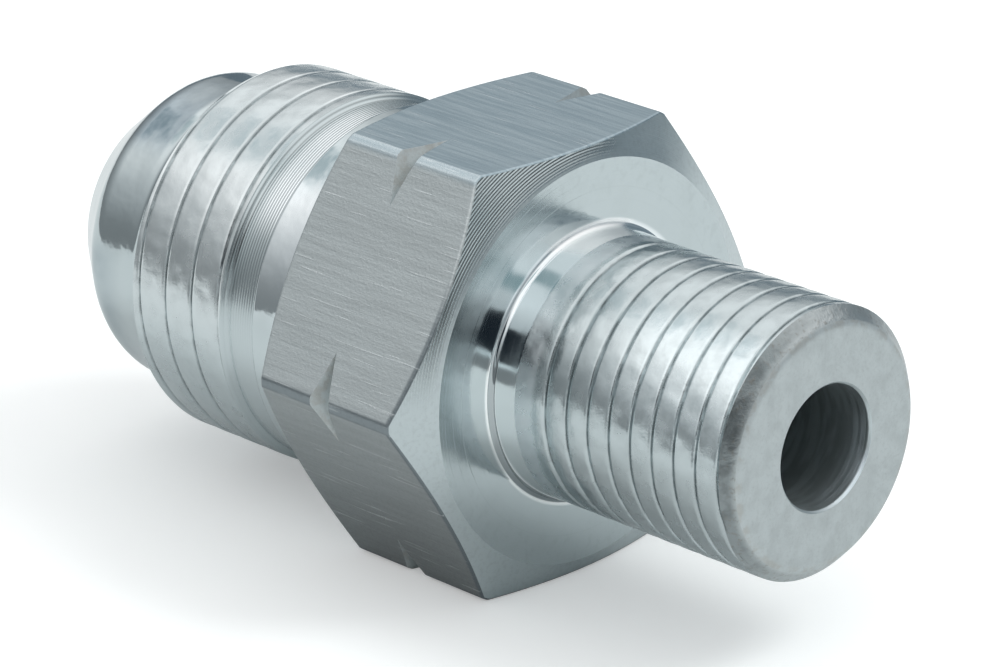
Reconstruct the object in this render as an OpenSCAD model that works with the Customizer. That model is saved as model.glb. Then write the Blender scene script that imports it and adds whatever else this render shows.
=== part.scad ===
/* Straight adapter fitting with a 37 degree flare end.
   The axis of the fitting is the X axis and the small threaded end points to +X.
   X = 0 is the turned front face of the hexagon, and two flats of the hexagon lie level. */

/* [Hexagon] */

// width across the flats
hex_af = 16; // [15.2:0.1:19]
// length of the hexagon between its two turned faces
hex_len = 8; // [6.5:0.1:14]
// amount turned off each sharp corner, measured along the radius
corner_cut = 0.08; // [0.02:0.01:0.3]
// width of the chamfer ring, from the flat inward to the turned face
face_inset = 0.55; // [0.3:0.05:0.8]
// angle of the chamfers to the turned faces
chamfer_angle = 25.5; // [15:0.5:35]

/* [Corner notches] */

// depth of the notch below the sharp corner
notch_depth = 0.81; // [0.4:0.01:1]
// included angle of the notch
notch_angle = 66; // [40:1:90]
// place of the notch behind the front face
notch_from_face = 4.2; // [3.4:0.1:4.7]

/* [Small threaded end] */

// length of the small end from the front face
small_len = 11.1; // [8:0.1:24]
// crest diameter of the M10 thread
small_thread_d = 9.8; // [9:0.1:11]
// extra diameter of the neck where it leaves the face
neck_swell = 0.35; // [0.1:0.05:0.6]
// length of the tapered neck
neck_len = 1.1; // [0.6:0.1:3]
// radius between the front face and the neck
neck_fillet = 0.25; // [0.1:0.05:0.4]
// chamfer at the end of the small thread
small_chamfer = 0.54; // [0.2:0.02:0.9]

/* [Flare end] */

// length of the flare end from the back face of the hexagon to its tip
flare_len = 14.2; // [13.6:0.1:30]
// crest diameter of the 9/16-18 thread
large_thread_d = 14.1; // [13.6:0.1:14.6]
// length of the threaded land at its full diameter
large_thread_len = 4.7; // [3:0.1:5.2]
// angle of the lead-in in front of the thread
lead_angle = 45; // [30:1:60]
// diameter of the smooth nose
nose_d = 12; // [10.6:0.1:12.6]
// radius between the nose and the lead-in
nose_fillet = 0.5; // [0.1:0.1:1]
// half of the cone angle of the seat
seat_half_angle = 37; // [30:1:45]
// diameter of the flat ring at the tip
tip_d = 8.5; // [8.2:0.1:9.5]
// diameter of the relief behind the thread
relief_d = 13.4; // [12.4:0.1:13.4]
// length of the relief with its slope
relief_len = 1.55; // [1:0.05:2.1]
// diameter of the collar between the relief and the hexagon
collar_d = 14; // [13.6:0.1:14.1]
// length of the collar
collar_len = 2.15; // [1:0.05:2.6]
// radius between the collar and the hexagon
collar_fillet = 0.4; // [0.1:0.05:0.4]

/* [Bore] */

// diameter of the bore through the small end
bore_d = 4.5; // [3:0.1:6]
// diameter of the wider bore in the flare end
flare_bore_d = 7.5; // [6.6:0.1:7.8]
// depth of the wider bore from the tip
flare_bore_depth = 13; // [8:0.1:16]
// point angle between the two bores
drill_angle = 118; // [90:1:140]
// edge break at the mouth of the small bore
bore_break = 0.08; // [0.02:0.01:0.3]

/* [Hidden] */

$fn = 96;

// distance from the axis to the sharp corner of the hexagon
corner_r = hex_af / sqrt(3);
// radius of the turned faces inside the chamfers
face_r = hex_af / 2 - face_inset;
// radius to which the corners are turned
turned_r = corner_r - corner_cut;
// depth of the chamfers where they meet the turned corners
chamfer_x = (turned_r - face_r) * tan(chamfer_angle);
// places along the axis, all measured from the front face
back_x = -hex_len;
tip_x = back_x - flare_len;
collar_x = back_x - collar_len;
thread_back_x = collar_x - relief_len;
thread_front_x = thread_back_x - large_thread_len;
lead_x = thread_front_x - (large_thread_d - nose_d) / 2 / tan(lead_angle);
seat_x = tip_x + (nose_d - tip_d) / 2 / tan(seat_half_angle);
relief_slope = (large_thread_d - relief_d) / 2;
// how far cutting shapes run past the faces that they cut
over = 1;

// turns an outline of radius against length into a solid round the X axis
module turned() {
    rotate([0, 90, 0]) rotate_extrude() children();
}

// fills an inner corner at (r, x) with a quarter fillet that faces +X or -X
module corner_fillet(r, x, radius, side) {
    difference() {
        translate([r - 0.01, side > 0 ? x - 0.01 : x - radius])
            square([radius + 0.01, radius + 0.01]);
        translate([r + radius, x + side * radius]) circle(r = radius);
    }
}

// outline of the chamfered hexagon blank
module hexagon_outline() {
    polygon([
        [0, back_x], [face_r, back_x], [turned_r, back_x + chamfer_x],
        [turned_r, -chamfer_x], [face_r, 0], [0, 0]
    ]);
}

// outline of the ring tool that leaves a V across every corner edge
module notch_outline() {
    root_r = corner_r - notch_depth;
    reach = notch_depth + over;
    half = reach * tan(notch_angle / 2);
    polygon([
        [root_r, -notch_from_face],
        [root_r + reach, -notch_from_face - half],
        [root_r + reach, -notch_from_face + half]
    ]);
}

// outline of the neck, the small thread land and its end chamfer
module small_end_outline() {
    r = small_thread_d / 2;
    neck_r = r + neck_swell / 2;
    polygon([
        [0, -over], [neck_r, -over], [neck_r, 0], [r, neck_len],
        [r, small_len - small_chamfer], [r - small_chamfer, small_len], [0, small_len]
    ]);
    corner_fillet(neck_r, 0, neck_fillet, 1);
}

// outline of the seat cone, nose, lead-in, thread land, relief and collar
module flare_end_outline() {
    polygon([
        [0, tip_x], [tip_d / 2, tip_x], [nose_d / 2, seat_x], [nose_d / 2, lead_x],
        [large_thread_d / 2, thread_front_x], [large_thread_d / 2, thread_back_x],
        [relief_d / 2, thread_back_x + relief_slope], [relief_d / 2, collar_x],
        [collar_d / 2, collar_x], [collar_d / 2, back_x + over], [0, back_x + over]
    ]);
    corner_fillet(collar_d / 2, back_x, collar_fillet, -1);
    lead_fillet();
}

// concave radius where the nose runs up into the lead-in
module lead_fillet() {
    run = nose_fillet * tan(lead_angle / 2);
    difference() {
        polygon([
            [nose_d / 2 - 0.01, lead_x - run], [nose_d / 2, lead_x - run],
            [nose_d / 2 + run * sin(lead_angle), lead_x + run * cos(lead_angle)],
            [nose_d / 2 - 0.01, lead_x + run * cos(lead_angle)]
        ]);
        translate([nose_d / 2 + nose_fillet, lead_x - run]) circle(r = nose_fillet);
    }
}

// outline of the stepped bore with the drill point between its two sizes
module bore_outline() {
    step = (flare_bore_d - bore_d) / 2;
    end_x = tip_x + flare_bore_depth;
    polygon([
        [0, tip_x - over], [flare_bore_d / 2, tip_x - over], [flare_bore_d / 2, end_x],
        [bore_d / 2, end_x + step / tan(drill_angle / 2)],
        [bore_d / 2, small_len - bore_break],
        [bore_d / 2 + bore_break, small_len],
        [bore_d / 2 + bore_break, small_len + over], [0, small_len + over]
    ]);
}

// the whole fitting, turned and milled from one hexagon bar
module adapter_body() {
    color([0.72, 0.75, 0.77])
    difference() {
        union() {
            intersection() {
                translate([back_x - over, 0, 0]) rotate([0, 90, 0]) rotate([0, 0, 30])
                    cylinder(r = corner_r, h = hex_len + 2 * over, $fn = 6);
                turned() hexagon_outline();
            }
            turned() small_end_outline();
            turned() flare_end_outline();
        }
        turned() notch_outline();
        turned() bore_outline();
    }
}

adapter_body();
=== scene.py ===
import math

import bmesh
import bpy
import numpy as np
from mathutils import Matrix, Vector


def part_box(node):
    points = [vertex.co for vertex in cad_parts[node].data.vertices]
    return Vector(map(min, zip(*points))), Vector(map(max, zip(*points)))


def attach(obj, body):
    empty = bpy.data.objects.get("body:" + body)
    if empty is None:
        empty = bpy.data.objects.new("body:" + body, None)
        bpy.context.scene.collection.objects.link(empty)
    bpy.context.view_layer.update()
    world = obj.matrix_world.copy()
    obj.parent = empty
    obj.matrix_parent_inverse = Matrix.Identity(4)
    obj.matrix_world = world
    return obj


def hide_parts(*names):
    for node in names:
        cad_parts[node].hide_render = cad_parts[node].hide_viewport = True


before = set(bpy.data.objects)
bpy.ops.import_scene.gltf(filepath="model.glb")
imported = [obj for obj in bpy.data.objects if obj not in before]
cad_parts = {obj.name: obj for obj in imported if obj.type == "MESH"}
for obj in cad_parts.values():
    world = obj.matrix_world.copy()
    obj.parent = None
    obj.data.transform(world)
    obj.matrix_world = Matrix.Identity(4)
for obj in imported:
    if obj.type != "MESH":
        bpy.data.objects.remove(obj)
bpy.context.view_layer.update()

bl_info = {
    "name": "Straight Adapter Fitting",
    "version": (1, 0, 0),
    "blender": (4, 5, 0),
    "location": "3D View > Sidebar > Fitting",
    "description": "Builds a zinc plated hexagon adapter with a flare end and a parallel threaded end",
    "category": "Add Mesh",
}

NODE = "adapter_body"
LOW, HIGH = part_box(NODE)
FULL_TURN = 2 * math.pi

# lengths are in metres, and in millimetres inside the finishes
# softness of a groove's root, as a share of half its width, and of its two edges
ROOT, EDGE = 0.12, 0.000014
# a run so short that a groove has its full depth at once, and the slack at a thread's ends
NO_RUN, SLACK = 1e-9, 2e-9
# how strongly a thread's rows crowd towards its groove, and the gap at which its turns join
CROWDING, SEAM = 2.2, 0.000001
# half a pitch and whole turns more, so that a fraction of the pitch is never negative
AHEAD = 100.5
# distance of the guard ring beside a rounded edge, which keeps the faces next to it flat
GUARD = 0.00003
# rounding of the collar and tip edges, and of the lip of the small end face
SOFT_EDGE, SOFT_LIP = 0.00008, 0.00022
# columns round each thread and rows along one pitch of it, and columns round each bore
SMALL_COLUMNS, SMALL_ROWS, FLARE_COLUMNS, FLARE_ROWS = 240, 20, 288, 22
SMALL_BORE_COLUMNS, FLARE_BORE_COLUMNS = 120, 144
# corners closer than this are joined, and steeper edges than this stay crisp
JOIN, CRISP = 0.0000015, math.radians(35)
# unit of the bumps
MICROMETRE = 1e-6


def length(name, description, default, low=0.0):
    """A size in metres."""
    return bpy.props.FloatProperty(
        name=name, description=description, default=default, min=low, max=0.1,
        unit="LENGTH", precision=5, step=0.001,
    )


def share(name, description, default, high=1.0):
    """A plain factor from zero up to a limit."""
    return bpy.props.FloatProperty(
        name=name, description=description, default=default, min=0.0, max=high, subtype="FACTOR",
    )


def angle(name, description, default):
    """An angle that is given in degrees and kept in radians."""
    return bpy.props.FloatProperty(
        name=name, description=description, default=math.radians(default), subtype="ANGLE",
    )


def colour(name, description, default):
    """A linear colour."""
    return bpy.props.FloatVectorProperty(
        name=name, description=description, default=default, size=3, min=0.0, max=1.0,
        subtype="COLOR",
    )


def dim(shade, factor):
    """A colour with each of its parts multiplied by a factor."""
    return [factor * part for part in shade]


def placed(name, data):
    """A new object in the scene."""
    made = bpy.data.objects.new(name, data)
    bpy.context.scene.collection.objects.link(made)
    return made


class HexagonSizes(bpy.types.PropertyGroup):
    """Sizes of the milled and chamfered hexagon."""

    across_flats: length("Across flats", "Distance between two flats", HIGH[2] - LOW[2])
    depth: length("Length", "Length along the axis", 0.008)
    turned_diameter: length("Turned diameter", "Diameter to which the corners are turned", 0.018314)
    face_diameter: length("Face diameter", "Diameter inside the chamfers", 0.0149)
    chamfer: angle("Chamfer angle", "Angle between chamfer and face", 25.5)
    corner_radius: length("Corner radius", "Rounding of the six corner edges", 0.00008)
    edge_radius: length("Edge softness", "Rounding where the chamfers meet the flats", 0.00007)
    notch_place: length("Notch place", "Distance of the notches from the face", 0.0042)
    notch_root: length("Notch root radius", "Radius of the bottom of the notches", 0.00843)
    notch_angle: angle("Notch angle", "Full angle of the corner notches", 66)


class SmallEndSizes(bpy.types.PropertyGroup):
    """Sizes of the neck and the small threaded end. Places count from the front face."""

    crest_diameter: length("Crest diameter", "Diameter over the thread crests", 0.0098)
    pitch: length("Pitch", "Distance from one groove to the next", 0.001)
    groove_depth: length("Groove depth", "Depth of the groove under the crests", 0.00014)
    groove_width: share("Groove width", "Width of the groove as a share of the pitch", 0.14)
    first_groove: length("First groove", "Place of the groove at angle zero", 0.00203, -0.1)
    thread_start: length("Thread start", "Where the groove begins", 0.00200)
    run_in: length("Run-in", "Length over which the groove reaches its full depth", 0.00055)
    crown: length("Crown", "How far the crests round off", 0.000014)
    neck_diameter: length("Neck diameter", "Diameter of the neck beside the front face", 0.00995)
    neck_length: length("Neck length", "Length of the polished neck", 0.0011)
    neck_fillet: length("Neck fillet", "Radius between the neck and the front face", 0.0002)
    end_chamfer: length("End chamfer", "Width of the chamfer at the end face", 0.00054)


class FlareEndSizes(bpy.types.PropertyGroup):
    """Sizes of the collar, relief, large thread, nose and seat. Places count from the front face."""

    crest_diameter: length("Crest diameter", "Diameter over the thread crests", 0.0141)
    pitch: length("Pitch", "Distance from one groove to the next", 0.001411)
    groove_depth: length("Groove depth", "Depth of the groove under the crests", 0.00014)
    groove_width: share("Groove width", "Width of the groove as a share of the pitch", 0.11)
    first_groove: length("First groove", "Place of the groove at angle zero", -0.01678, -0.1)
    thread_front: length("Thread front", "Where the full crests begin", -0.0164, -0.1)
    thread_back: length("Thread back", "Where the crests end", -0.0117, -0.1)
    run_out: length("Run-out", "Length over which the groove fades out", 0.00035)
    crown: length("Crown", "How far the crests round off", 0.000014)
    nose_diameter: length("Nose diameter", "Diameter of the plain nose", 0.012)
    nose_fillet: length("Nose fillet", "Radius between the nose and the lead-in", 0.0005)
    nose_rounding: length("Nose rounding", "Length of the soft corner at the seat", 0.00045)
    relief_diameter: length("Relief diameter", "Diameter of the relief", 0.0136)
    collar_diameter: length("Collar diameter", "Diameter of the collar", 0.014)
    collar_front: length("Collar front", "Where the collar begins", -0.01005, -0.1)
    collar_fillet: length("Collar fillet", "Radius between the collar and the hexagon", 0.0003)
    tip_diameter: length("Tip diameter", "Outer diameter of the flat ring at the tip", 0.0085)
    seat_angle: angle("Seat angle", "Angle between the flare seat and the axis", 37)


class BoreSizes(bpy.types.PropertyGroup):
    """Sizes of the stepped bore."""

    small_diameter: length("Small bore", "Diameter in the small end", 0.0045)
    flare_diameter: length("Flare bore", "Diameter in the flare end", 0.0075)
    flare_depth: length("Flare bore depth", "Depth of the larger bore from the tip", 0.013)
    drill_angle: angle("Drill angle", "Full angle of the drill point", 118)
    edge_break: length("Edge break", "Small chamfer at the bore mouths", 0.00008)


class ZincLooks(bpy.types.PropertyGroup):
    """Colours and finish of the plated steel."""

    plate: colour("Plate colour", "Bright zinc plate on turned steel", (0.548, 0.612, 0.628))
    drawn: colour("Drawn flat colour", "Zinc plate on the drawn flats", (0.590, 0.640, 0.650))
    tarnish: colour("Tarnish colour", "Faint brown stain in worn places", (0.46, 0.43, 0.38))
    shine: share("Polish", "How clear the turned faces reflect", 0.9)
    wear: share("Wear", "Strength of scratches and stains", 0.5)


class StageLooks(bpy.types.PropertyGroup):
    """Floor, lamps and the room that the plate reflects."""

    floor: colour("Floor colour", "Matte studio floor", (0.78, 0.80, 0.80))
    table_edge: length("Table edge", "Distance from the axis to the table's edge", 0.060)
    room: share("Room light", "Brightness of the pale room", 1.0, 2.0)
    lamp: bpy.props.FloatProperty(
        name="Overhead lamp", description="Power of the soft lamp high up beside the object",
        default=1.2, min=0.0, max=20.0, unit="POWER",
    )
    focal_length: bpy.props.FloatProperty(
        name="Focal length", description="Lens that gives the photograph's framing",
        default=180.205, min=10.0, max=500.0, unit="CAMERA",
    )


class Wire:
    """An output socket in a node tree. Python operators on it add Math nodes."""

    def __init__(self, bench, socket):
        self.bench = bench
        self.socket = socket

    def out(self, name):
        return Wire(self.bench, self.socket.node.outputs[name])

    def math(self, operation, *terms):
        sockets = dict(enumerate((self,) + terms))
        return self.bench.node("ShaderNodeMath", {"operation": operation}, sockets)

    def __add__(self, other):
        return self.math("ADD", other)

    __radd__ = __add__

    def __mul__(self, other):
        return self.math("MULTIPLY", other)

    __rmul__ = __mul__

    def __sub__(self, other):
        return self.math("SUBTRACT", other)

    def __rsub__(self, other):
        return self.bench.node("ShaderNodeMath", {"operation": "SUBTRACT"}, {0: other, 1: self})

    def __truediv__(self, other):
        return self.math("DIVIDE", other)

    def __pow__(self, other):
        return self.math("POWER", other)

    def __abs__(self):
        return self.math("ABSOLUTE")

    def least(self, other):
        return self.math("MINIMUM", other)

    def most(self, other):
        return self.math("MAXIMUM", other)

    def above(self, other):
        return self.math("GREATER_THAN", other)

    def ramp(self, start, end, low=0.0, high=1.0):
        """Goes smoothly from low to high while the value goes from start to end."""
        if start > end:
            start, end, low, high = end, start, high, low
        return self.bench.node(
            "ShaderNodeMapRange", {"interpolation_type": "SMOOTHSTEP"},
            {"Value": self, "From Min": start, "From Max": end, "To Min": low, "To Max": high},
        )


class Bench:
    """Adds and links nodes in one tree. That of a material or world is emptied first."""

    def __init__(self, owner):
        if isinstance(owner, bpy.types.NodeTree):
            self.tree = owner
        else:
            owner.use_nodes = True
            self.tree = owner.node_tree
            self.tree.nodes.clear()

    def node(self, kind, settings=None, sockets=None, output=0):
        """Makes a node, sets its settings, then fills its sockets with values or links."""
        made = self.tree.nodes.new(kind)
        for name, value in (settings or {}).items():
            if name == "stops":
                stops = made.color_ramp.elements
                while len(stops) < len(value):
                    stops.new(0.5)
                for stop, (place, shade) in zip(stops, value):
                    stop.position = place
                    stop.color = (*shade, 1.0)
            else:
                setattr(made, name, value)
        for name, value in (sockets or {}).items():
            socket = made.inputs[name]
            if isinstance(value, Wire):
                self.tree.links.new(value.socket, socket)
            elif socket.type == "RGBA":
                socket.default_value = (*value, 1.0)
            else:
                socket.default_value = value
        return Wire(self, made.outputs[output]) if len(made.outputs) else made

    def mix(self, factor, first, second):
        """Mixes two colours by a factor."""
        sockets = {0: factor, 6: first, 7: second}
        return self.node("ShaderNodeMix", {"data_type": "RGBA"}, sockets, 2)

    def join(self, x, y, z):
        return self.node("ShaderNodeCombineXYZ", None, {0: x, 1: y, 2: z})

    def dot(self, vector, direction):
        settings = {"operation": "DOT_PRODUCT"}
        return self.node("ShaderNodeVectorMath", settings, {0: vector, 1: direction}, "Value")

    def noise(self, place, scale, detail=2.0, roughness=0.5, kind="3D", socket="Vector"):
        """Smooth noise from 0 to 1 in space."""
        return self.node(
            "ShaderNodeTexNoise", {"noise_dimensions": kind},
            {socket: place, "Scale": scale, "Detail": detail, "Roughness": roughness},
        )

    def lines(self, value, scale, detail=2.0, roughness=0.6):
        """Noise that varies along one number only, for drawn or turned lines."""
        return self.noise(value, scale, detail, roughness, "1D", "W")


class Plate:
    """Places on the object in millimetres, and the shader that every zinc finish ends in."""

    def __init__(self, name):
        self.material = bpy.data.materials.new(name)
        self.bench = Bench(self.material)
        here = self.bench.node("ShaderNodeTexCoord", None, None, "Object")
        self.place = self.bench.node(
            "ShaderNodeVectorMath", {"operation": "SCALE"}, {0: here, "Scale": 1000.0})
        split = self.bench.node("ShaderNodeSeparateXYZ", None, {0: self.place})
        self.x, self.y, self.z = split, split.out("Y"), split.out("Z")
        flat = self.bench.join(0.0, self.y, self.z)
        self.radius = self.bench.node(
            "ShaderNodeVectorMath", {"operation": "LENGTH"}, {0: flat}, "Value")

    def stretched(self, along, across):
        """Object place scaled along the axis and across it."""
        return self.bench.join(self.x * along, self.y * across, self.z * across)

    def towards(self, degrees):
        """Cosine of the angle round the axis between here and a given angle from +Y towards +Z."""
        turn = math.radians(degrees)
        return (self.y * math.cos(turn) + self.z * math.sin(turn)) / self.radius

    def coated(self, base, *coats):
        """A colour with others mixed over it in turn, each given as (mask, colour)."""
        for mask, shade in coats:
            base = self.bench.mix(mask, base, shade)
        return base

    def finish(self, base, roughness, bumps, metallic=1.0):
        """Metal with a colour, a roughness and bumps given as (height from 0 to 1, micrometres)."""
        facing = {}
        for height, tall in bumps:
            values = {"Height": height, "Distance": tall * MICROMETRE, "Strength": 1.0, **facing}
            facing = {"Normal": self.bench.node("ShaderNodeBump", None, values)}
        values = {"Base Color": base, "Roughness": roughness, "Metallic": metallic, **facing}
        shader = self.bench.node("ShaderNodeBsdfPrincipled", None, values)
        self.bench.node("ShaderNodeOutputMaterial", None, {"Surface": shader})
        return self.material


def ripples(value, pitch):
    """Even waves from 0 to 1, with their pitch in millimetres."""
    return (value * (FULL_TURN / pitch)).math("SINE") * 0.5 + 0.5


def polished_zinc(plate, bench, looks):
    """Mirror-like turned faces: front face, neck, collar, nose and seat."""
    pale, painted_gleam = (0.82, 0.87, 0.89), (0.98, 1.0, 1.0)
    painted_crease_shade, shade = (0.30, 0.35, 0.37), (0.26, 0.32, 0.36)
    marks = bench.lines(plate.x + plate.radius, 14.0, 3.0, 0.7)
    haze = bench.noise(plate.place, 0.9, 3.0)
    cloud = bench.noise(plate.place, 1.4, 1.0)
    stain = bench.noise(plate.place, 2.6, 3.0, 0.6)
    ahead = plate.x.ramp(-0.1, 0.0)
    # the polished neck, painted paler below as a painted reflection
    neck = plate.radius.ramp(5.3, 5.15) * ahead
    # bands near the top and the bottom of the neck, painted near white below as painted highlights
    upper, lower = neck * plate.z.ramp(4.6, 4.85), neck * plate.z.ramp(2.2, 1.0)
    # painted shade in the fold of the neck's fillet beside the front face, on its lower part
    fold = plate.x.ramp(0.24, 0.18) * plate.x.above(0.003) * plate.z.ramp(3.0, 1.2)
    far = plate.radius.ramp(5.6, 6.9) * ahead
    scratch = bench.lines(plate.radius, 9.0, 1.0).ramp(0.62, 0.7) * far
    collar = plate.x.ramp(-10.4, -10.2) * plate.x.ramp(-7.8, -8.0) * plate.radius.ramp(7.5, 7.3)
    # upper part of the collar, painted paler below as a painted highlight
    lit = collar * plate.z.ramp(0.5, 3.5) * plate.z.ramp(6.0, 4.9)
    # painted shade on the top of the nose, and more faintly on its lower side towards the tip
    nose = plate.x.ramp(-17.8, -18.1) * plate.z.ramp(4.0, 4.9) * plate.z.ramp(6.1, 5.6, 0.6, 1.0)
    nose = nose + plate.x.ramp(-18.2, -19.4) * plate.z.ramp(1.4, 0.4) * 0.45
    blotch = bench.noise(plate.place, 1.1, 2.0, 0.5) * (collar + plate.x.ramp(-17.6, -18.0))
    base = plate.coated(
        looks.plate,
        (haze.ramp(0.45, 0.75) * 0.3, dim(looks.plate, 0.9)),
        (stain.ramp(0.5, 0.68) * far * 0.4, dim(looks.plate, 0.84)),
        (scratch * 0.35, dim(looks.plate, 0.75)),
        # painted reflections: neck and upper collar paler, the neck's bands near white; then painted
        # shade in the fold
        (neck + lit, pale), (upper + lower, painted_gleam), (fold * 0.8, painted_crease_shade),
        # painted shade on the nose, mottled by the haze
        (nose * haze.ramp(0.3, 0.7, 0.6, 0.95), shade),
    )
    roughness = (1.0 - looks.shine) * 0.6 + haze.ramp(0.4, 0.8) * 0.05 + marks * 0.03
    roughness = roughness + far * 0.10 + upper * 0.35
    return base, roughness, [(cloud, 3), (blotch, 20), (marks, 0.5), (scratch, 2)]


def thread_zinc(plate, bench, looks):
    """Thread crests and grooves: turning lines under soft cloudy plating, with painted shade in the
    grooves.
    """
    satin, pale, bright = (0.74, 0.79, 0.81), (0.84, 0.88, 0.89), (0.84, 0.92, 0.94)
    marks = bench.lines(plate.x, 30.0, 2.0, 0.7)
    cloud = bench.noise(plate.place, 1.0, 1.0, 0.4)
    patch = bench.noise(plate.place, 1.6, 2.0, 0.5)
    grain = bench.noise(plate.place, 14.0, 2.0, 0.6)
    waves = bench.noise(plate.place, 3.2, 2.0, 0.5)
    small = plate.radius.ramp(4.87, 4.81) * plate.x.above(1.6) * (1.0 - plate.x.above(10.5))
    large = plate.radius.ramp(7.02, 6.96) * plate.x.above(-16.35) * (1.0 - plate.x.above(-11.75))
    grooves = small + large * plate.radius.above(6.5)
    land = plate.x.ramp(2.1, 1.8) * plate.x.above(0.5)
    # painted highlight: the large thread paler towards its top, less so near 113 degrees round the axis
    left = plate.x.ramp(-10.0, -11.0) * plate.z.ramp(-2.0, 2.5, 0.0, 0.6)
    # painted highlight on the small thread round 143 degrees round the axis, mottled by the patches
    right = plate.x.ramp(3.5, 7.0)
    lit = right * plate.towards(143).ramp(0.87, 0.96) * patch.ramp(0.3, 0.6, 0.6, 0.95)
    base = plate.coated(
        looks.plate,
        (patch.ramp(0.35, 0.7) * 0.35, dim(looks.plate, 0.86)),
        # after the plain land, the painted highlights of the large and the small thread
        (land, satin), (left * plate.towards(113).ramp(0.94, 0.99, 1.0, 0.4), pale), (lit, bright),
        # painted shade on the small thread's lower side, round 197 degrees round the axis
        (right * plate.towards(197).ramp(0.93, 0.985) * 0.8, dim(looks.plate, 0.76)),
        # painted shade in the grooves of both threads, mottled by the patches
        (grooves * patch.ramp(0.3, 0.65, 0.15, 0.6), dim(looks.plate, 0.35)),
    )
    roughness = 0.16 + patch.ramp(0.35, 0.7) * 0.1 + grain * 0.06 + land * 0.08
    return base, roughness, [(cloud, 60), (waves, 7), (grain, 1.5), (marks, 0.8)]


def drawn_zinc(plate, bench, looks):
    """Flats of the drawn bar: matte, with streaks along the axis and fine speckle."""
    under, shadow, bare_metal_and_glint = (0.09, 0.10, 0.105), (0.14, 0.17, 0.19), (0.82, 0.86, 0.87)
    face_radius, chamfer_slope = 7.45, 0.477
    streaks = bench.noise(plate.stretched(0.22, 5.0), 1.0, 3.0, 0.65)
    streaky = streaks.ramp(0.35, 0.65)
    fine = bench.noise(plate.stretched(1.6, 16.0), 1.0, 2.0, 0.6)
    scratch = bench.noise(plate.stretched(0.4, 8.0), 1.0, 1.0).ramp(0.66, 0.74)
    speckle = bench.noise(plate.place, 9.0, 3.0, 0.7)
    cloud = bench.noise(plate.place, 0.5, 2.0)
    # worn bare corner edges, kept to the upper corners, so they are also a painted highlight
    edge = plate.radius.ramp(9.125, 9.155) * plate.z.ramp(1.0, 5.0) * looks.wear
    # painted shade: the flats darker towards the bottom
    low = plate.z.ramp(0.2, -0.4) * 0.35 + plate.z.ramp(0.0, -8.0) * 0.3
    # painted shadow lines on the flats along the front chamfer's edge, except high up, and at the lower
    # corners
    behind = 0.0 - plate.x - (plate.radius - face_radius) * chamfer_slope
    rim = behind.ramp(0.20, 0.06) * plate.z.ramp(5.5, 3.0)
    corner = plate.radius.ramp(9.08, 9.15) * plate.z.ramp(2.0, 0.5)
    base = plate.coated(
        looks.drawn,
        (streaky * 0.5, dim(looks.drawn, 0.78)),
        (speckle.ramp(0.5, 0.75) * 0.35, dim(looks.drawn, 0.7)),
        # painted reflection: the top flat a darker blue grey, streaked
        (plate.z.ramp(7.6, 7.95), bench.mix(streaky, (0.44, 0.53, 0.575), (0.33, 0.42, 0.47))),
        # painted shade on the lower flats, and painted shadow lines along the chamfer edge and lower
        # corners
        (low, under), (rim.most(corner) * 0.75, shadow),
        # bare metal of real scratches, and of the upper corner edges, partly a painted highlight
        (scratch * 0.6 * looks.wear + edge * 0.55, bare_metal_and_glint),
    )
    roughness = 0.30 + speckle.ramp(0.3, 0.7) * 0.10 - scratch * 0.08 - edge * 0.2 + cloud * 0.04
    return base, roughness, [(speckle, 12), (streaks, 8), (fine, 5), (scratch, 3)]


def ringed_zinc(plate, bench, looks):
    """Hexagon chamfers: rings of the turning tool, clear in one direction and faint in the rest; in
    that direction the chamfer is painted darker and its ring lines painted brighter, a painted
    reflection.
    """
    marks = bench.lines(plate.radius, 22.0, 2.0)
    haze = bench.noise(plate.place, 1.1, 2.0)
    grain = bench.noise(plate.place, 6.0, 3.0, 0.65)
    # towards 125 degrees round the axis: painted shade, with painted highlights on the ring lines
    clear = plate.towards(125).ramp(0.6, 0.9) * plate.radius.ramp(7.4, 7.9)
    line = ripples(plate.radius, 0.090) ** 2.5 * clear
    base = plate.coated(
        looks.plate, (clear, dim(looks.plate, 0.36)), (line, dim(looks.plate, 1.25)),
        (grain.ramp(0.45, 0.7) * 0.3, dim(looks.plate, 0.7)))
    return base, 0.26 - clear * 0.10 + haze * 0.08, [(line, 9), (marks, 4), (grain, 5)]


def ridged_zinc(plate, bench, looks):
    """Relief behind the large thread with fine feed ridges, painted shade in the ridges and a painted
    highlight, both strongest towards 118 degrees round the axis.
    """
    pale = (0.90, 0.95, 0.97)
    ridges = ripples(plate.x, 0.125)
    marks = bench.lines(plate.x, 40.0, 2.0)
    turn = plate.towards(118)
    clear = turn.ramp(0.45, 0.85, 0.1, 1.0)
    # painted highlight near the collar and painted shade in the ridges, both strongest towards 118
    # degrees
    base = plate.coated(
        looks.plate, (turn.ramp(0.84, 0.95) * plate.x.ramp(-11.6, -10.9), pale),
        (ridges ** 2.5 * clear * 0.7, dim(looks.plate, 0.45)))
    return base, 0.18 + marks * 0.08, [(ridges * clear, 10), (marks, 2)]


def sawn_zinc(plate, bench, looks):
    """End faces and corner notches: matte and mottled, with a faint brown rim at the small end."""
    mottle = bench.noise(plate.place, 1.6, 4.0, 0.65)
    grain = bench.noise(plate.place, 8.0, 3.0, 0.7)
    rim = plate.radius.ramp(4.15, 4.35) * mottle.ramp(0.45, 0.6) * looks.wear
    base = plate.coated(
        dim(looks.drawn, 0.95),
        (mottle.ramp(0.35, 0.7) * 0.6, dim(looks.drawn, 0.80)),
        (grain.ramp(0.5, 0.7) * 0.4, dim(looks.drawn, 0.75)), (rim * 0.6, looks.tarnish))
    return base, 0.46 + mottle * 0.12, [(mottle, 12), (grain, 10)]


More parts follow.
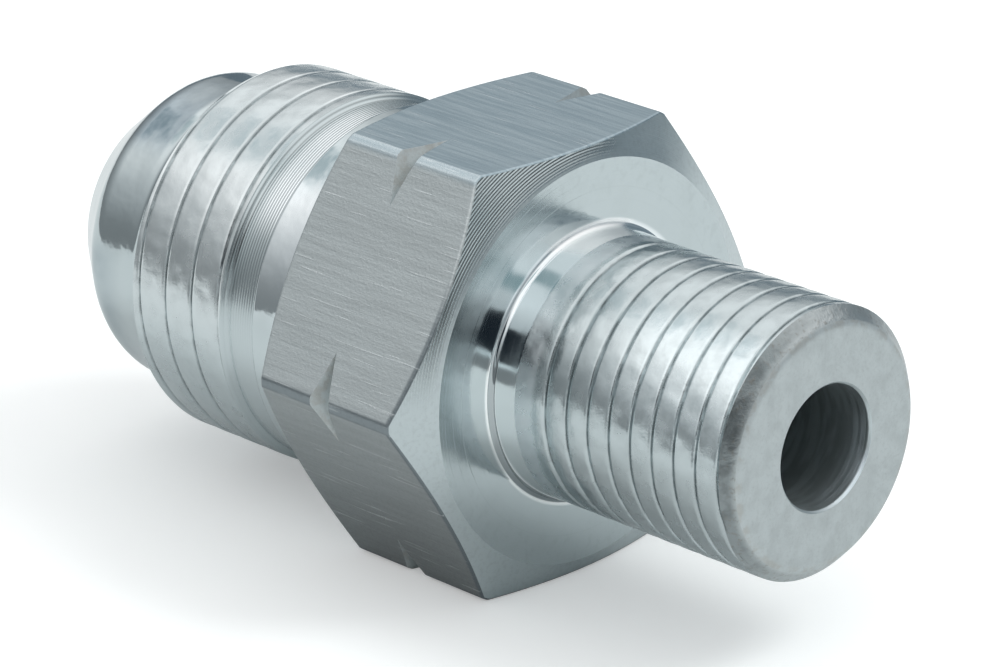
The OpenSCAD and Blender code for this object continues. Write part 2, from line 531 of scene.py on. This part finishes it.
def worn_zinc(plate, bench, looks):
    """Chamfer at the end of the small thread: dull, pitted and stained, and mottled darker, most
    towards 168 degrees round the axis.
    """
    pits = bench.noise(plate.place, 5.0, 3.0, 0.7)
    stain = bench.noise(plate.place, 1.3, 3.0, 0.6)
    # mottled darkening of the chamfer, full towards 168 degrees round the axis and a quarter elsewhere
    worn = plate.radius.ramp(4.36, 4.66) * plate.towards(168).ramp(0.1, 0.85, 0.25, 1.0)
    dark = bench.mix(stain.ramp(0.4, 0.65) * 0.8, dim(looks.plate, 0.5), dim(looks.plate, 0.3))
    base = plate.coated(
        dim(looks.drawn, 0.88), (worn, dark), (pits.ramp(0.52, 0.7) * 0.5, dim(looks.tarnish, 0.5)))
    return base, 0.26 + pits * 0.2, [(pits, 22), (stain, 30)]


def bored_zinc(plate, bench, looks):
    """Drilled bores: dull grey walls with rings of the drill, coarser at the mouths, with a painted
    reflection at the mouths towards 320 degrees round the axis.
    """
    bright, shade = (0.86, 0.95, 1.0), dim(looks.plate, 0.95)
    rings = bench.lines(plate.x, 5.0, 3.0, 0.7)
    mouth = abs(plate.x).ramp(9.8, 11.0)
    haze = bench.noise(plate.stretched(2.5, 0.5), 1.0, 2.0)
    # painted reflection at the bore mouths towards 320 degrees round the axis, mottled by the haze
    lit = mouth * plate.towards(320).ramp(0.5, 0.95) * haze.ramp(0.3, 0.6)
    base = plate.coated(shade, (haze.ramp(0.4, 0.6) * 0.6, dim(shade, 0.6)), (lit, bright))
    metallic = 0.86
    return base, 0.34 + haze * 0.1, [(rings, 8), (rings * mouth, 50)], metallic


def plated(look, looks):
    """The material of one look, with the name of its function."""
    plate = Plate(look.__name__)
    return plate.finish(*look(plate, plate.bench, looks))


FINISHES = (
    polished_zinc, thread_zinc, drawn_zinc, ringed_zinc,
    ridged_zinc, sawn_zinc, worn_zinc, bored_zinc,
)
POLISHED, THREAD, DRAWN, RINGED, RIDGED, SAWN, WORN, BORED = range(len(FINISHES))


class Helix:
    """The rule of one thread: a groove that winds round a plain cylinder."""

    def __init__(self, sizes, start, end, run_in=NO_RUN, run_out=NO_RUN):
        pitch, groove = sizes.pitch, sizes.first_groove
        self.crest, self.pitch, self.crown = sizes.crest_diameter / 2, pitch, sizes.crown
        self.depth, self.width = sizes.groove_depth, sizes.groove_width
        self.start, self.end = start, end
        self.run_in, self.run_out = run_in, run_out
        self.first = groove - pitch * math.ceil((groove + pitch / 2 - start) / pitch)
        self.turns = math.ceil((end + pitch / 2 - self.first) / pitch)

    def radius(self, x, angles):
        """Radius of the threaded surface at a place along the axis and an angle."""
        phase = (x - self.first) / self.pitch - angles / FULL_TURN
        off = np.abs((phase + 0.5) % 1.0 - 0.5)
        half = self.width / 2
        wall = self.depth * (1 - (np.sqrt((off / half) ** 2 + ROOT ** 2) - ROOT))
        cut = 0.5 * (wall + np.sqrt(wall ** 2 + EDGE ** 2))
        rise = 1.0
        if self.run_in > NO_RUN:
            rise = min(rise, (x - self.start + SLACK) / self.run_in)
        if self.run_out > NO_RUN:
            rise = min(rise, (self.end + SLACK - x) / self.run_out)
        rise = max(rise, 0.0)
        cut = cut * rise ** 2 * (3 - 2 * rise)
        bow = np.minimum((0.5 - off) / (0.5 - half), 1)
        return self.crest - cut - self.crown * bow * bow


def thread_tree():
    """Node tree that winds a strip one pitch wide into a closed threaded band."""
    tree = bpy.data.node_groups.new("wind_thread", "GeometryNodeTree")
    given_sizes = (
        ("NodeSocketInt", ("Columns", "Rows", "Turns")),
        ("NodeSocketFloat", (
            "Crest radius", "Pitch", "Groove depth", "Groove width", "First groove", "Start", "End",
            "Run-in", "Run-out", "Crown")),
        ("NodeSocketMaterial", ("Finish",)),
    )
    for kind, names in given_sizes:
        for name in names:
            tree.interface.new_socket(name=name, in_out="INPUT", socket_type=kind)
    tree.interface.new_socket(name="Geometry", in_out="OUTPUT", socket_type="NodeSocketGeometry")
    bench = Bench(tree)
    given = bench.node("NodeGroupInput")
    pitch, start, end = given.out("Pitch"), given.out("Start"), given.out("End")
    grid = bench.node("GeometryNodeMeshGrid", None, {
        "Size X": 1.0, "Size Y": 1.0,
        "Vertices X": given.out("Columns") * given.out("Turns") + 1.0,
        "Vertices Y": given.out("Rows") + 1.0,
    })
    corner = bench.node("ShaderNodeSeparateXYZ", None, {0: bench.node("GeometryNodeInputPosition")})
    turn = (corner + 0.5) * given.out("Turns")
    across = corner.out("Y") * 2.0
    offset = across.math("SIGN") * abs(across) ** CROWDING * 0.5
    middle = given.out("First groove") + turn * pitch
    x = (middle + offset * pitch).most(start).least(end)
    off = abs(((x - middle) / pitch + AHEAD).math("FRACT") - 0.5)
    half = given.out("Groove width") * 0.5
    aside = off / half
    wall = given.out("Groove depth") * (1.0 + ROOT - (aside * aside + ROOT ** 2) ** 0.5)
    cut = 0.5 * (wall + (wall * wall + EDGE ** 2) ** 0.5)
    rise_in = (x - start + SLACK) / given.out("Run-in")
    rise_out = (end + SLACK - x) / given.out("Run-out")
    rise = rise_in.least(rise_out).least(1.0).most(0.0)
    bow = ((0.5 - off) / (0.5 - half)).least(1.0)
    crest = given.out("Crest radius") - cut * (rise * rise * (3.0 - 2.0 * rise))
    radius = crest - given.out("Crown") * bow * bow
    spin = turn.math("FRACT") * FULL_TURN
    place = bench.join(x, radius * spin.math("COSINE"), radius * spin.math("SINE"))
    wound = bench.node("GeometryNodeSetPosition", None, {"Geometry": grid, "Position": place})
    merged = bench.node("GeometryNodeMergeByDistance", None, {"Geometry": wound, "Distance": SEAM})
    real = bench.node("GeometryNodeRealizeInstances", None, {0: merged})
    coat = {"Geometry": real, "Material": given.out("Finish")}
    done = bench.node("GeometryNodeSetMaterial", None, coat)
    bench.node("NodeGroupOutput", None, {0: done})
    return tree


def wound_thread(tree, helix, columns, rows, finish):
    """Corners and faces of one thread, made by the node tree."""
    carrier = placed("thread_blank", bpy.data.meshes.new("thread_blank"))
    modifier = carrier.modifiers.new("wind_thread", "NODES")
    modifier.node_group = tree
    sizes = {
        "Columns": columns, "Rows": rows, "Turns": helix.turns, "Crest radius": helix.crest,
        "Pitch": helix.pitch, "Groove depth": helix.depth, "Groove width": helix.width,
        "First groove": helix.first, "Start": helix.start, "End": helix.end,
        "Run-in": helix.run_in, "Run-out": helix.run_out, "Crown": helix.crown, "Finish": finish,
    }
    for item in tree.interface.items_tree:
        if item.in_out == "INPUT":
            modifier[item.identifier] = sizes[item.name]
    bpy.context.view_layer.update()
    evaluated = carrier.evaluated_get(bpy.context.evaluated_depsgraph_get())
    mesh = bpy.data.meshes.new_from_object(evaluated)
    corners = np.zeros(len(mesh.vertices) * 3)
    mesh.vertices.foreach_get("co", corners)
    faces = [tuple(face.vertices) for face in mesh.polygons]
    bpy.data.objects.remove(carrier)
    bpy.data.meshes.remove(mesh)
    return corners.reshape(-1, 3), faces


class Shell:
    """Collects rings of points round the axis into one closed surface."""

    def __init__(self):
        self.points, self.faces, self.finishes, self.sharp = [], [], [], []
        self.last = None

    def ring(self, x, radius, angles, finish=None, crisp=False):
        """Adds a ring, and faces to the ring before it when a finish is named."""
        first = len(self.points)
        x = np.broadcast_to(np.asarray(x, float), angles.shape)
        radius = np.broadcast_to(np.asarray(radius, float), angles.shape)
        self.points += list(zip(x, radius * np.cos(angles), radius * np.sin(angles)))
        made = (np.arange(first, first + len(angles)), angles)
        if crisp:
            self.sharp += list(zip(made[0].tolist(), np.roll(made[0], -1).tolist()))
        if finish is not None:
            self.bridge(self.last, made, finish)
        self.last = made
        return made

    def bridge(self, first, second, finish):
        """Fills the strip between two rings, also where their counts differ."""
        a, b = first[0].tolist(), second[0].tolist()
        if len(a) == len(b) and np.allclose(first[1], second[1]):
            made = [(a[i - 1], a[i], b[i], b[i - 1]) for i in range(len(a))]
        else:
            made, i, j = [], 0, 0
            turn_a = np.append(first[1], first[1][0] + FULL_TURN)
            turn_b = np.append(second[1], second[1][0] + FULL_TURN)
            while i < len(a) or j < len(b):
                here, there = a[i % len(a)], b[j % len(b)]
                if j >= len(b) or (i < len(a) and turn_a[i + 1] <= turn_b[j + 1]):
                    made.append((here, a[(i + 1) % len(a)], there))
                    i += 1
                else:
                    made.append((here, b[(j + 1) % len(b)], there))
                    j += 1
        self.faces += made
        self.finishes += [finish] * len(made)

    def add(self, corners, faces, finish):
        """Adds ready faces."""
        first = len(self.points)
        self.points += [tuple(p) for p in corners]
        self.faces += [tuple(first + i for i in face) for face in faces]
        self.finishes += [finish] * len(faces)

    def outline(self, places, angles, finish, limit=None):
        """Adds a ring for each (x, radius) or (x, radius, crisp), no wider than a limit."""
        for place in places:
            x, radius = place[:2]
            if limit is not None:
                radius = np.minimum(radius, limit(x, angles))
            self.ring(x, radius, angles, finish, len(place) > 2 and place[2])


def even(count):
    """Angles of evenly spaced columns."""
    return np.arange(count) * FULL_TURN / count


def arc(x, radius, size, start, end, steps):
    """Places on an arc in a plane through the axis, with angles from +X in degrees."""
    turns = np.radians(np.linspace(start, end, steps + 1))
    return [(x + size * math.cos(t), radius + size * math.sin(t)) for t in turns]


def rounded(before, corner, after, size, steps=3):
    """Places of a rounded corner between two straight runs, each with a guard place beside it."""
    corner = np.array(corner, float)
    towards = [np.array(p, float) - corner for p in (before, after)]
    units = [v / np.linalg.norm(v) for v in towards]
    start, end = (corner + size * u for u in units)
    made = [tuple(start + GUARD * units[0]), tuple(start)]
    for step in range(1, steps):
        t = step / steps
        made.append(tuple((1 - t) ** 2 * start + 2 * t * (1 - t) * corner + t * t * end))
    return made + [tuple(end), tuple(end + GUARD * units[1])]


def hexagon_angles():
    """Angles of the hexagon's columns, close together at the corners and notches."""
    near = [0, 0.12, 0.24, 0.4, 0.6, 1.0, 1.4]
    offsets = near + list(np.arange(2, 12.1, 0.8)) + list(np.arange(13.5, 30, 1.9))
    made = []
    for corner in range(0, 360, 60):
        made += [corner + v for v in offsets + [30]]
        made += [corner + 60 - v for v in reversed(offsets[1:])]
    return np.radians(made)


def hexagon_radius(angles, sizes):
    """Distance of the hexagon's outside from the axis, with rounded corner edges."""
    flat, soft = sizes.across_flats / 2, sizes.corner_radius
    half, side = math.radians(30), math.radians(60)
    off = np.abs((angles + half) % side - half)
    sharp = flat / np.cos(half - off)
    centre = (flat - soft) / math.cos(half)
    reach = np.clip(soft ** 2 - (centre * np.sin(off)) ** 2, 0, None)
    blunt = centre * np.cos(off) + np.sqrt(reach)
    tangent = math.atan2(soft / 2, centre + soft * math.cos(half))
    return np.minimum(np.where(off < tangent, blunt, sharp), sizes.turned_diameter / 2)


def add_hexagon(shell, sizes):
    """Rings of the hexagon from its front face to its back face."""
    angles = hexagon_angles()
    out = hexagon_radius(angles, sizes)
    face, soft = sizes.face_diameter / 2, sizes.edge_radius
    sink = (out - face) * math.tan(sizes.chamfer)
    run = np.hypot(sink, out - face)
    ux, ur = sink / run, (face - out) / run
    start_x, start_r = -sink + soft * ux, out + soft * ur
    front = [(0.0, face, POLISHED)]
    for part in (0.02, 0.35, 0.7):
        front.append((-sink * part, face + (out - face) * part, RINGED))
    front.append((start_x + GUARD * ux, start_r + GUARD * ur, RINGED))
    front.append((start_x, start_r, RINGED))
    for t in (0.25, 0.5, 0.75):
        a, b, c = (1 - t) ** 2, 2 * t * (1 - t), t * t
        front.append((a * start_x - b * sink + c * (-sink - soft), a * start_r + (b + c) * out, DRAWN))
    front.append((-sink - soft, out, DRAWN))
    front.append((-sink - soft - GUARD, out, DRAWN))
    for number, (x, radius, finish) in enumerate(front):
        shell.ring(x, radius, angles, finish, number == 0)
    # just behind the ends of the chamfers at the corners
    shoulder = 0.0009
    middle = -sizes.notch_place
    half = np.clip(out - sizes.notch_root, 0, None) * math.tan(sizes.notch_angle / 2)
    root = np.minimum(out, sizes.notch_root)
    for part in (0.3, 0.7):
        shell.ring(-shoulder + (middle + half + shoulder) * part, out, angles, DRAWN)
    notch = [
        (middle + half + GUARD, out, DRAWN), (middle + half, out, DRAWN),
        (middle + half * 0.5, (out + root) / 2, SAWN), (middle + half * 0.04, root, SAWN),
        (middle - half * 0.04, root, SAWN), (middle - half * 0.5, (out + root) / 2, SAWN),
        (middle - half, out, SAWN), (middle - half - GUARD, out, DRAWN),
    ]
    for x, radius, finish in notch:
        shell.ring(x, radius, angles, finish)
    for part in (0.35, 0.7):
        left = sizes.depth - shoulder + middle - half
        shell.ring(middle - half - left * part, out, angles, DRAWN)
    # the back repeats the front in reverse, so each strip takes the finish of the ring before
    strip = DRAWN
    for number, (x, radius, finish) in reversed(list(enumerate(front))):
        shell.ring(-sizes.depth - x, radius, angles, strip, number == 0)
        strip = finish


def add_small_end(shell, sizes, bore, helix, band):
    """Rings from the bore mouth over the end face, chamfer, thread and neck to the front face."""
    end = float(HIGH[0])
    angles, mouth_angles = even(SMALL_COLUMNS), even(SMALL_BORE_COLUMNS)
    crest, mouth = sizes.crest_diameter / 2, bore.small_diameter / 2 + bore.edge_break
    lip = crest - sizes.end_chamfer
    start = shell.ring(end, mouth, mouth_angles, None, True)
    shell.outline([(end, mouth + GUARD)], mouth_angles, SAWN)
    face = rounded((end, mouth), (end, lip), (helix.end, crest), SOFT_LIP, 5)
    shell.outline(face[:-2], angles, SAWN)
    shell.outline(face[-2:], angles, WORN, helix.radius)
    # gaps between the chamfer and the thread, and beside the fillet of the neck
    margin, foot = 0.00001, 0.00004
    steps = np.linspace(face[-1][0], helix.end + margin, 9)[1:-1]
    slope = [(x, crest - (x - helix.end) * sizes.end_chamfer / (end - helix.end)) for x in steps]
    shell.outline(slope, angles, WORN, helix.radius)
    shell.outline([(helix.end, crest, True)], angles, WORN, helix.radius)
    shell.add(*band, THREAD)
    shell.ring(helix.start, helix.radius(helix.start, angles), angles)
    # a small step parts the plain land from the polished neck
    step_length, step_height = 0.00008, 0.000004
    neck_end, fillet, neck = sizes.neck_length, sizes.neck_fillet, sizes.neck_diameter / 2
    drop = (helix.start - neck_end) / 2
    land = [(helix.start - drop, crest), (neck_end + step_length, crest)]
    shell.outline(land + [(neck_end, crest + step_height)], angles, THREAD)
    slope = (neck - crest) / (neck_end - fillet)
    taper = (neck_end - GUARD, neck_end - 2 * GUARD, fillet + GUARD, fillet)
    shell.outline([(x, crest + (neck_end - x) * slope) for x in taper], angles, POLISHED)
    tilt = math.atan(slope)
    reach, height = fillet + fillet * math.sin(tilt), neck + fillet * math.cos(tilt)
    curve = arc(reach, height, reach, 270 - math.degrees(tilt), 180, 9)[1:]
    shell.outline(curve + [(0.0, height + foot)], angles, POLISHED)
    return start


def add_flare_end(shell, sizes, bore, helix, band, back):
    """Rings from the hexagon's back face over the collar, relief, thread, nose and seat to the tip."""
    angles = even(FLARE_COLUMNS)
    tip, collar_end, fillet = float(LOW[0]), sizes.collar_front, sizes.collar_fillet
    collar, relief = sizes.collar_diameter / 2, sizes.relief_diameter / 2
    crest, nose = sizes.crest_diameter / 2, sizes.nose_diameter / 2
    shell.outline(arc(back - fillet, collar + fillet, fillet, 0, -90, 6), angles, POLISHED)
    edge = rounded((back, collar), (collar_end, collar), (collar_end, relief), SOFT_EDGE)
    shell.outline(edge + [(collar_end, relief, True)], angles, POLISHED)
    foot = sizes.thread_back + (crest - relief)
    turned = [(collar_end + (foot - collar_end) * t, relief) for t in (0.25, 0.5, 0.75)]
    shell.outline(turned + [(foot, relief, True)], angles, RIDGED)
    steps = np.linspace(foot, helix.end, 8)[1:]
    places = [(x, crest - (x - helix.end)) for x in steps[:-1]] + [(helix.end, crest, True)]
    shell.outline(places, angles, RIDGED, helix.radius)
    shell.add(*band, THREAD)
    shell.ring(helix.start, helix.radius(helix.start, angles), angles, None, True)
    lead = helix.start - (crest - nose)
    turn = sizes.nose_fillet * math.tan(math.radians(22.5))
    top = lead + turn * math.cos(math.radians(45))
    steps = np.linspace(helix.start, top, 10)[1:]
    shell.outline([(x, crest - (helix.start - x)) for x in steps], angles, THREAD, helix.radius)
    curve = arc(lead - turn, nose + sizes.nose_fillet, sizes.nose_fillet, -45, -90, 5)[1:]
    shell.outline(curve, angles, POLISHED)
    rim = tip + (nose - sizes.tip_diameter / 2) / math.tan(sizes.seat_angle)
    seat_end = (tip, sizes.tip_diameter / 2)
    seat = rounded((lead, nose), (rim, nose), seat_end, sizes.nose_rounding, 10)
    ring_in = bore.flare_diameter / 2 + bore.edge_break
    face = rounded((rim, nose), seat_end, (tip, ring_in), SOFT_EDGE)
    shell.outline(seat + face[:2], angles, POLISHED)
    shell.outline(face[2:], angles, SAWN)
    shell.outline([(tip, ring_in, True)], even(FLARE_BORE_COLUMNS), SAWN)


def add_bore(shell, bore, start):
    """Rings of the stepped bore from the tip back to the mouth in the small end."""
    tip, end = float(LOW[0]), float(HIGH[0])
    wide, narrow = bore.flare_diameter / 2, bore.small_diameter / 2
    step = tip + bore.flare_depth
    throat = step + (wide - narrow) / math.tan(bore.drill_angle / 2)
    # plain rings part of the way along each bore
    wide_ring, first_ring, second_ring = tip + 0.006, -0.002, 0.005
    places = [(tip + bore.edge_break, wide, True), (wide_ring, wide), (step, wide, True)]
    shell.outline(places, even(FLARE_BORE_COLUMNS), BORED)
    places = [(throat, narrow, True), (first_ring, narrow), (second_ring, narrow)]
    places.append((end - bore.edge_break, narrow, True))
    shell.outline(places, even(SMALL_BORE_COLUMNS), BORED)
    shell.bridge(shell.last, start, BORED)


class ADAPTER_OT_body(bpy.types.Operator):
    """Build the whole plated fitting as one closed piece in place of the plain solid"""

    bl_idname = "adapter.body"
    bl_label = "Build Fitting"

    def execute(self, context):
        scene = context.scene
        small, flare, bore = scene.adapter_small_end, scene.adapter_flare_end, scene.adapter_bore
        finishes = [plated(look, scene.adapter_zinc) for look in FINISHES]
        small_helix = Helix(small, small.thread_start, float(HIGH[0]) - small.end_chamfer, small.run_in)
        flare_helix = Helix(flare, flare.thread_front, flare.thread_back, run_out=flare.run_out)
        tree = thread_tree()
        shell = Shell()
        zinc = finishes[THREAD]
        small_band = wound_thread(tree, small_helix, SMALL_COLUMNS, SMALL_ROWS, zinc)
        flare_band = wound_thread(tree, flare_helix, FLARE_COLUMNS, FLARE_ROWS, zinc)
        start = add_small_end(shell, small, bore, small_helix, small_band)
        add_hexagon(shell, scene.adapter_hexagon)
        back = -scene.adapter_hexagon.depth
        add_flare_end(shell, flare, bore, flare_helix, flare_band, back)
        add_bore(shell, bore, start)
        mesh = bpy.data.meshes.new("plated_fitting")
        mesh.from_pydata(shell.points, [], shell.faces)
        for finish in finishes:
            mesh.materials.append(finish)
        mesh.polygons.foreach_set("material_index", shell.finishes)
        crisp = {tuple(sorted(pair)) for pair in shell.sharp}
        work = bmesh.new()
        work.from_mesh(mesh)
        for edge in work.edges:
            if tuple(sorted(v.index for v in edge.verts)) in crisp:
                edge.smooth = False
        bmesh.ops.remove_doubles(work, verts=work.verts, dist=JOIN)
        bmesh.ops.recalc_face_normals(work, faces=work.faces)
        open_edges = sum(not edge.is_manifold for edge in work.edges)
        if open_edges:
            raise RuntimeError(f"the fitting has {open_edges} open edges")
        for face in work.faces:
            face.smooth = True
        for edge in work.edges:
            if edge.calc_face_angle(0) > CRISP:
                edge.smooth = False
        work.to_mesh(mesh)
        work.free()
        mesh.update()
        piece = placed("plated_fitting", mesh)
        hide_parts(NODE)
        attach(piece, "root")
        return {"FINISHED"}


def panel_mask(bench, direction, azimuth, elevation, width, height, soft):
    """A soft-edged rectangle in the sky, in degrees, with azimuth from +X towards +Y."""
    az, el = math.radians(azimuth), math.radians(elevation)
    centre = Vector((math.cos(az) * math.cos(el), math.sin(az) * math.cos(el), math.sin(el)))
    side = Vector((-math.sin(az), math.cos(az), 0.0))
    up = centre.cross(side)
    # a panel ends before its far side comes round
    nearest = 0.05
    ahead = bench.dot(direction, centre)
    across = abs(bench.dot(direction, side) / ahead.most(nearest))
    above = abs(bench.dot(direction, up) / ahead.most(nearest))
    w, h, s = (math.tan(math.radians(v)) for v in (width / 2, height / 2, soft / 2))
    return across.ramp(w + s, w - s) * above.ramp(h + s, h - s) * ahead.above(nearest)


# brightness of the room by elevation in degrees, pale lamps high up and dim walls below
HEIGHTS = (
    (-90, 0.30), (0, 0.29), (5, 0.31), (13, 0.42), (22, 0.60),
    (30, 0.80), (37, 1.0), (43, 1.24), (52, 1.15), (90, 1.05),
)
# the ramp of brightness holds values up to one, so they are divided by this and scaled back
BRIGHTEST = 1.3
# brightness of the dimmest walls, and the tint that the room loses from there up to one
DIMMEST, WALL_TINT = 0.3, (0.94, 1.0, 1.03)
# azimuth, elevation, width, height and soft rim of each panel in degrees, and its colour
PANELS = (
    # dim walls behind the object and to its right
    (78, 9, 156, 36, 8, (0.20, 0.25, 0.285)),
    # dark screen round the camera, seen in the neck and in the face beside it
    (-44.5, 16.5, 30, 23, 2, (0.014, 0.020, 0.028)),
    # light ledge under it
    (-46, 3.5, 50, 2.5, 2, (0.90, 0.98, 1.0)),
    # gaps between the rows of lamps
    (182, 48, 20, 11, 6, (0.61, 0.69, 0.72)),
    (-13, 47, 12, 24, 4, (0.42, 0.53, 0.55)),
)


def build_room(stage):
    """The pale room round the object, brighter towards the ceiling, with its panels."""
    world = bpy.data.worlds.new("studio_room")
    bpy.context.scene.world = world
    bench = Bench(world)
    direction = bench.node("ShaderNodeTexCoord", None, None, "Generated")
    height = bench.node("ShaderNodeSeparateXYZ", None, {0: direction}).out("Z")
    place = height.math("ARCSINE") * (1.0 / math.pi) + 0.5
    stops = []
    for elevation, light in HEIGHTS:
        fade = min(1.0, max(0.0, (light - DIMMEST) / 0.7))
        shade = tuple(light / BRIGHTEST * (tint + (1 - tint) * fade) for tint in WALL_TINT)
        stops.append((elevation / 180 + 0.5, shade))
    room = bench.node("ShaderNodeValToRGB", {"stops": stops}, {0: place})
    scaled = {0: room, "Scale": BRIGHTEST * stage.room}
    room = bench.node("ShaderNodeVectorMath", {"operation": "SCALE"}, scaled)
    for *panel, shade in PANELS:
        room = bench.mix(panel_mask(bench, direction, *panel), room, shade)
    seen = bench.node("ShaderNodeLightPath", None, None, "Is Camera Ray")
    shown = bench.mix(seen, room, (1.0, 1.0, 1.0))
    light = bench.node("ShaderNodeBackground", None, {"Color": shown, "Strength": 1.0})
    bench.node("ShaderNodeOutputWorld", None, {"Surface": light})


def build_floor(stage):
    """A pale table top with its edge in front of the object. It looks white and keeps the shadow."""
    # gap under the object, reach of the table top, and its own glow in the picture
    gap, reach, glow = 0.00002, 1.5, 0.3
    mesh = bpy.data.meshes.new("studio_floor")
    corners = ((-reach, -stage.table_edge), (reach, -stage.table_edge), (reach, reach), (-reach, reach))
    level = float(LOW[2]) - gap
    mesh.from_pydata([(x, y, level) for x, y in corners], [], [(0, 1, 2, 3)])
    floor = placed("studio_floor", mesh)
    material = bpy.data.materials.new("matte_floor")
    bench = Bench(material)
    seen = bench.node("ShaderNodeLightPath").out("Is Camera Ray")
    place = bench.node("ShaderNodeTexCoord", None, None, "Object")
    fleck = bench.noise(place, 160.0, 2.0)
    shade = bench.mix(fleck.ramp(0.3, 0.7) * 0.3, stage.floor, dim(stage.floor, 0.97))
    matte = bench.node("ShaderNodeBsdfDiffuse", None, {"Color": shade})
    lift = bench.node("ShaderNodeEmission", None, {"Color": (1.0, 1.0, 1.0), "Strength": glow})
    both = bench.node("ShaderNodeAddShader", None, {0: matte, 1: lift})
    choice = bench.node("ShaderNodeMixShader", None, {0: seen, 1: matte, 2: both})
    bench.node("ShaderNodeOutputMaterial", None, {"Surface": choice})
    mesh.materials.append(material)


def build_lamp(stage):
    """One large soft lamp, high up on the object's right as the camera sees it."""
    width, place = 0.22, Vector((0.30, 0.24, 0.46))
    data = bpy.data.lights.new("overhead_lamp", "AREA")
    data.shape, data.size, data.size_y = "RECTANGLE", width, width
    data.energy = stage.lamp
    data.color = (0.98, 1.0, 1.0)
    lamp = placed("overhead_lamp", data)
    lamp.matrix_world = Matrix.Translation(place) @ place.to_track_quat("Z", "Y").to_matrix().to_4x4()
    lamp.visible_camera = False
    lamp.visible_glossy = False


def build_camera(stage):
    """The photograph's camera, with its place in metres and its angles in radians."""
    place = Vector((0.11374791, -0.11667025, 0.06750613))
    azimuth, elevation, roll = 0.79217509, 0.38682730, -0.01628475
    data = bpy.data.cameras.new("photo_camera")
    data.lens, data.sensor_width = stage.focal_length, 36.0
    data.clip_start, data.clip_end = 0.005, 20.0
    level = math.cos(elevation)
    back = Vector((math.sin(azimuth) * level, -math.cos(azimuth) * level, math.sin(elevation)))
    side = Vector((math.cos(azimuth), math.sin(azimuth), 0.0))
    up = back.cross(side)
    right = math.cos(roll) * side + math.sin(roll) * up
    top = math.cos(roll) * up - math.sin(roll) * side
    turn = Matrix((right, top, back)).transposed().to_4x4()
    camera = placed("photo_camera", data)
    camera.matrix_world = Matrix.Translation(place) @ turn
    bpy.context.scene.camera = camera


class ADAPTER_OT_stage(bpy.types.Operator):
    """Set up the floor, the room light, the lamp and the camera"""

    bl_idname = "adapter.stage"
    bl_label = "Set Stage"

    def execute(self, context):
        stage = context.scene.adapter_stage
        build_room(stage)
        build_floor(stage)
        build_lamp(stage)
        build_camera(stage)
        context.scene.view_settings.view_transform = "Standard"
        return {"FINISHED"}


GROUPS = (
    ("adapter_hexagon", HexagonSizes, "Hexagon"),
    ("adapter_small_end", SmallEndSizes, "Small End"),
    ("adapter_flare_end", FlareEndSizes, "Flare End"),
    ("adapter_bore", BoreSizes, "Bore"),
    ("adapter_zinc", ZincLooks, "Zinc Plate"),
    ("adapter_stage", StageLooks, "Stage"),
)


class ADAPTER_PT_fitting(bpy.types.Panel):
    """Lists the sizes, colours and steps of the fitting"""

    bl_idname = "ADAPTER_PT_fitting"
    bl_label = "Straight Adapter Fitting"
    bl_space_type = "VIEW_3D"
    bl_region_type = "UI"
    bl_category = "Fitting"

    def draw(self, context):
        for name, group, title in GROUPS:
            box = self.layout.box()
            box.label(text=title)
            for key in group.__annotations__:
                box.prop(getattr(context.scene, name), key)
        self.layout.operator(ADAPTER_OT_body.bl_idname)
        self.layout.operator(ADAPTER_OT_stage.bl_idname)


CLASSES = tuple(group for _, group, _ in GROUPS) + (
    ADAPTER_OT_body, ADAPTER_OT_stage, ADAPTER_PT_fitting)


def register():
    for item in CLASSES:
        bpy.utils.register_class(item)
    for name, group, _ in GROUPS:
        setattr(bpy.types.Scene, name, bpy.props.PointerProperty(type=group))


def unregister():
    for name, _, _ in GROUPS:
        delattr(bpy.types.Scene, name)
    for item in reversed(CLASSES):
        bpy.utils.unregister_class(item)


def main():
    """Builds the fitting and the stage."""
    register()
    bpy.ops.adapter.body()
    bpy.ops.adapter.stage()
    bpy.context.view_layer.update()


if __name__ == "__main__":
    main()
